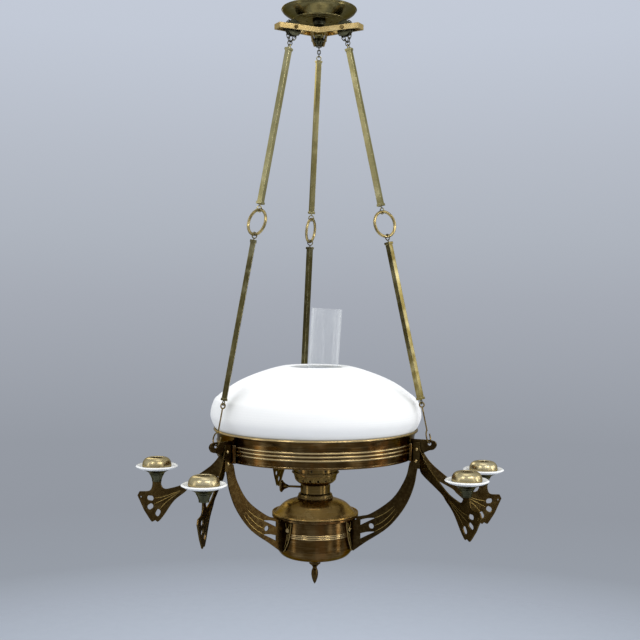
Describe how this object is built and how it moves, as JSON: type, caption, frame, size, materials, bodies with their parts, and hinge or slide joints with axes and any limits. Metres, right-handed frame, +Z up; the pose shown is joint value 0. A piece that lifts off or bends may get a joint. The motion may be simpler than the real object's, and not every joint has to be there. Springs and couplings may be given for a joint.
{
  "type": "hanging oil lamp",
  "caption": "Hanging brass oil lamp on chain and rod strands, with an opal glass shade, a lift-out font and burner, and pierced candle arms.",
  "frame": {"origin": "centre of the bore of the hanging eye", "axes": "+Z up along the lamp's axis; -Y towards the side that the picture shows, +X to its right"},
  "size_m": [0.4836, 0.4575, 0.8071],
  "materials": {
    "aged_brass": "aged satin",
    "pale_brass": "dull, pale",
    "gold_brass": "polished",
    "dark_bronze": "dark patina",
    "opal_pan": "glossy opal",
    "opal_glass": "glossy opal",
    "clear_glass": "clear",
    "wick_cotton": "woven cotton"
  },
  "bodies": {
    "ceiling": {"suspension_eye": "aged_brass", "canopy": "aged_brass", "canopy_spacer": "dark_bronze", "spreader_frame": "gold_brass", "pulley_pins": "gold_brass", "chain_loop_1": "dark_bronze", "chain_loop_2": "dark_bronze", "chain_loop_3": "dark_bronze"},
    "pulley_1": {"pulley_wheel_1": "aged_brass"},
    "pulley_2": {"pulley_wheel_2": "aged_brass"},
    "pulley_3": {"pulley_wheel_3": "aged_brass"},
    "strand_1": {"upper_rod_1": "pale_brass", "lower_rod_1": "pale_brass", "lug_hook_1": "aged_brass"},
    "strand_2": {"upper_rod_2": "pale_brass", "lower_rod_2": "pale_brass", "lug_hook_2": "aged_brass"},
    "strand_3": {"upper_rod_3": "pale_brass", "lower_rod_3": "pale_brass", "lug_hook_3": "aged_brass"},
    "ring_1": {"link_ring_1": "pale_brass"},
    "ring_2": {"link_ring_2": "pale_brass"},
    "ring_3": {"link_ring_3": "pale_brass"},
    "frame": {"shade_ring": "aged_brass", "ring_clasps": "aged_brass", "rivets": "gold_brass", "bracket_1": "aged_brass", "bracket_2": "aged_brass", "bracket_3": "aged_brass", "candle_plate_1": "aged_brass", "candle_plate_2": "aged_brass", "candle_plate_3": "aged_brass", "candle_plate_4": "aged_brass", "candle_plate_5": "aged_brass", "candle_plate_6": "aged_brass", "candle_vases": "dark_bronze", "font_holder": "aged_brass", "holder_shields": "aged_brass", "finial": "aged_brass"},
    "nozzle_1": {"drip_pan_1": "opal_pan", "candle_cap_1": "gold_brass"},
    "nozzle_2": {"drip_pan_2": "opal_pan", "candle_cap_2": "gold_brass"},
    "nozzle_3": {"drip_pan_3": "opal_pan", "candle_cap_3": "gold_brass"},
    "nozzle_4": {"drip_pan_4": "opal_pan", "candle_cap_4": "gold_brass"},
    "nozzle_5": {"drip_pan_5": "opal_pan", "candle_cap_5": "gold_brass"},
    "nozzle_6": {"drip_pan_6": "opal_pan", "candle_cap_6": "gold_brass"},
    "oil_font": {"font": "aged_brass", "burner_collar": "aged_brass", "burner_body": "aged_brass", "gallery": "aged_brass"},
    "knob": {"wick_knob": "gold_brass"},
    "wick_body": {"wick": "wick_cotton"},
    "glass_chimney": {"chimney": "clear_glass"},
    "glass_shade": {"shade": "opal_glass"}
  },
  "joints": [
    {"name": "pulley_turn_1", "type": "hinge", "parent": "ceiling", "child": "pulley_1", "pos_m": [-0.03662, -0.0148, -0.0565], "axis": [0.3746, -0.9272, 0], "continuous": true},
    {"name": "pulley_turn_2", "type": "hinge", "parent": "ceiling", "child": "pulley_2", "pos_m": [0.03113, -0.02432, -0.0565], "axis": [0.6157, 0.788, 0], "continuous": true},
    {"name": "pulley_turn_3", "type": "hinge", "parent": "ceiling", "child": "pulley_3", "pos_m": [0.0055, 0.03912, -0.0565], "axis": [-0.9903, 0.1392, 0], "continuous": true},
    {"name": "lamp_twist", "type": "hinge", "parent": "ceiling", "child": "frame", "pos_m": [0, 0, -0.58435], "axis": [0, 0, 1], "range_deg": [-5, 5]},
    {"name": "strand_swing_1", "type": "hinge", "parent": "ceiling", "child": "strand_1", "pos_m": [-0.04111, -0.01661, -0.07882], "axis": [-0.8457, -0.4883, 0.2154], "range_deg": [-1.6, 1.6]},
    {"name": "strand_swing_2", "type": "hinge", "parent": "ceiling", "child": "strand_2", "pos_m": [0.03494, -0.0273, -0.07882], "axis": [0.8457, -0.4883, 0.2154], "range_deg": [-1.6, 1.6]},
    {"name": "strand_swing_3", "type": "hinge", "parent": "ceiling", "child": "strand_3", "pos_m": [0.00617, 0.04391, -0.07882], "axis": [0, 0.9765, 0.2154], "range_deg": [-1.6, 1.6]},
    {"name": "ring_turn_1", "type": "hinge", "parent": "strand_1", "child": "ring_1", "pos_m": [-0.08464, -0.04498, -0.314], "axis": [0.1807, 0.1178, 0.9764], "range_deg": [-40, 40]},
    {"name": "ring_turn_2", "type": "hinge", "parent": "strand_2", "child": "ring_2", "pos_m": [0.08128, -0.05081, -0.314], "axis": [-0.1924, 0.0976, 0.9764], "range_deg": [-40, 40]},
    {"name": "ring_turn_3", "type": "hinge", "parent": "strand_3", "child": "ring_3", "pos_m": [0.00336, 0.09579, -0.314], "axis": [0.0117, -0.2154, 0.9764], "range_deg": [-40, 40]},
    {"name": "shade_lift", "type": "slide", "parent": "frame", "child": "glass_shade", "axis": [0, 0, 1], "range_m": [0, 0.014]},
    {"name": "font_lift", "type": "slide", "parent": "frame", "child": "oil_font", "axis": [0, 0, 1], "range_m": [0, 0.06]},
    {"name": "chimney_lift", "type": "slide", "parent": "oil_font", "child": "glass_chimney", "axis": [0, 0, 1], "range_m": [0, 0.16]},
    {"name": "knob_turn", "type": "hinge", "parent": "oil_font", "child": "knob", "pos_m": [0, 0, -0.66546], "axis": [-0.9511, 0.309, 0], "range_deg": [-115, 115]},
    {"name": "wick_rise", "type": "slide", "parent": "oil_font", "child": "wick_body", "axis": [0, 0, 1], "range_m": [-0.0061, 0.0061]},
    {"name": "nozzle_lift_1", "type": "slide", "parent": "frame", "child": "nozzle_1", "axis": [0, 0, 1], "range_m": [0, 0.03]},
    {"name": "nozzle_lift_2", "type": "slide", "parent": "frame", "child": "nozzle_2", "axis": [0, 0, 1], "range_m": [0, 0.03]},
    {"name": "nozzle_lift_3", "type": "slide", "parent": "frame", "child": "nozzle_3", "axis": [0, 0, 1], "range_m": [0, 0.03]},
    {"name": "nozzle_lift_4", "type": "slide", "parent": "frame", "child": "nozzle_4", "axis": [0, 0, 1], "range_m": [0, 0.03]},
    {"name": "nozzle_lift_5", "type": "slide", "parent": "frame", "child": "nozzle_5", "axis": [0, 0, 1], "range_m": [0, 0.03]},
    {"name": "nozzle_lift_6", "type": "slide", "parent": "frame", "child": "nozzle_6", "axis": [0, 0, 1], "range_m": [0, 0.03]}
  ],
  "couplings": [
    {"joint": "strand_swing_1", "follows": "lamp_twist", "ratio": 0.29834},
    {"joint": "strand_swing_2", "follows": "lamp_twist", "ratio": 0.29834},
    {"joint": "strand_swing_3", "follows": "lamp_twist", "ratio": 0.29834},
    {"joint": "wick_rise", "follows": "knob_turn", "m_per_rad": 0.003}
  ]
}
